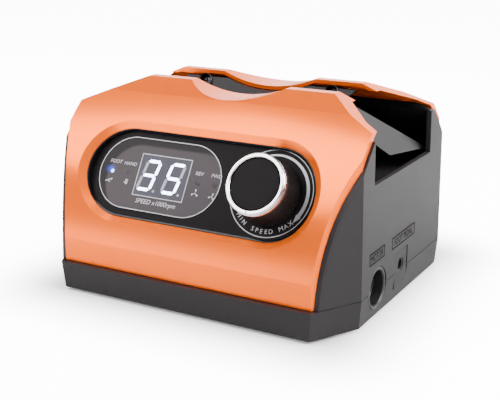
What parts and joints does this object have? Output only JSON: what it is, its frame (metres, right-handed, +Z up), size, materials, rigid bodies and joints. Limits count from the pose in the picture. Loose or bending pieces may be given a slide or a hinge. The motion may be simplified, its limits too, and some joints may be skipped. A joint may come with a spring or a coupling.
{
  "type": "rotary handpiece control unit",
  "caption": "Desktop speed control unit for a rotary handpiece: curved front with display and speed knob, cradle across the top, sockets on the side.",
  "frame": {"origin": "on the table surface, under the middle of the overall box", "axes": "+X to the right of the control panel, +Y to the back, +Z up"},
  "size_m": [0.1486, 0.1382, 0.0914],
  "materials": {
    "orange_gloss": "pearl gloss",
    "dark_plastic": "fine satin texture",
    "black_plastic": "matt",
    "panel_plastic": "satin membrane",
    "smoked_lens": "smoked gloss",
    "chrome_trim": "polished",
    "steel_part": "plain",
    "brass_part": "plain",
    "aluminium_part": "mill finish",
    "rubber_foot": "matt",
    "circuit_board": "solder mask",
    "copper_winding": "enamelled wire",
    "blue_sleeve": "shrink sleeve",
    "display_light": "lit segments"
  },
  "bodies": {
    "root": {"front_fascia": "orange_gloss", "rear_fascia": "orange_gloss", "body_shell": "dark_plastic", "base_tray": "dark_plastic", "handpiece_cradle": "dark_plastic", "service_pan": "dark_plastic", "pedal_jack_plate": "dark_plastic", "motor_socket": "black_plastic", "pedal_jack": "black_plastic", "power_inlet": "black_plastic", "switch_housing": "black_plastic", "fuse_holder": "black_plastic", "voltage_regulator": "black_plastic", "control_panel": "panel_plastic", "motor_socket_insert": "panel_plastic", "display_lens": "smoked_lens", "speed_potentiometer": "steel_part", "transformer_core": "steel_part", "rocker_pin": "steel_part", "touch_spring_mode": "steel_part", "touch_spring_direction": "steel_part", "base_screw_front_left": "steel_part", "base_screw_front_right": "steel_part", "base_screw_rear_right": "steel_part", "base_screw_rear_left": "steel_part", "cradle_screw_rear_left": "steel_part", "cradle_screw_rear_right": "steel_part", "cradle_screw_front_left": "steel_part", "cradle_screw_front_right": "steel_part", "inlet_pin_1": "steel_part", "inlet_pin_2": "steel_part", "inlet_pin_3": "steel_part", "potentiometer_nut": "brass_part", "motor_pin_1": "brass_part", "motor_pin_2": "brass_part", "motor_pin_3": "brass_part", "motor_pin_4": "brass_part", "heatsink": "aluminium_part", "transformer_bracket": "aluminium_part", "foot_front_left": "rubber_foot", "foot_front_right": "rubber_foot", "foot_rear_right": "rubber_foot", "foot_rear_left": "rubber_foot", "display_board": "circuit_board", "main_board": "circuit_board", "transformer_winding": "copper_winding", "filter_capacitor_1": "blue_sleeve", "filter_capacitor_2": "blue_sleeve", "digit_display": "display_light", "indicator_led_foot": "display_light", "indicator_led_hand": "display_light", "indicator_led_reverse": "display_light", "indicator_led_forward": "display_light"},
    "speed_knob": {"potentiometer_shaft": "aluminium_part", "knob_body": "black_plastic", "knob_ring": "chrome_trim", "knob_cap": "panel_plastic"},
    "power_rocker": {"power_rocker": "black_plastic"}
  },
  "joints": [
    {"name": "speed_knob_turn", "type": "hinge", "parent": "root", "child": "speed_knob", "pos_m": [0.0348, -0.0524, 0.0563], "axis": [0, -0.8616, 0.5075], "range_deg": [0, 280]},
    {"name": "power_rocker_tilt", "type": "hinge", "parent": "root", "child": "power_rocker", "pos_m": [-0.026, 0.05412, 0.034], "axis": [1, 0, 0], "range_deg": [0, 20]}
  ]
}
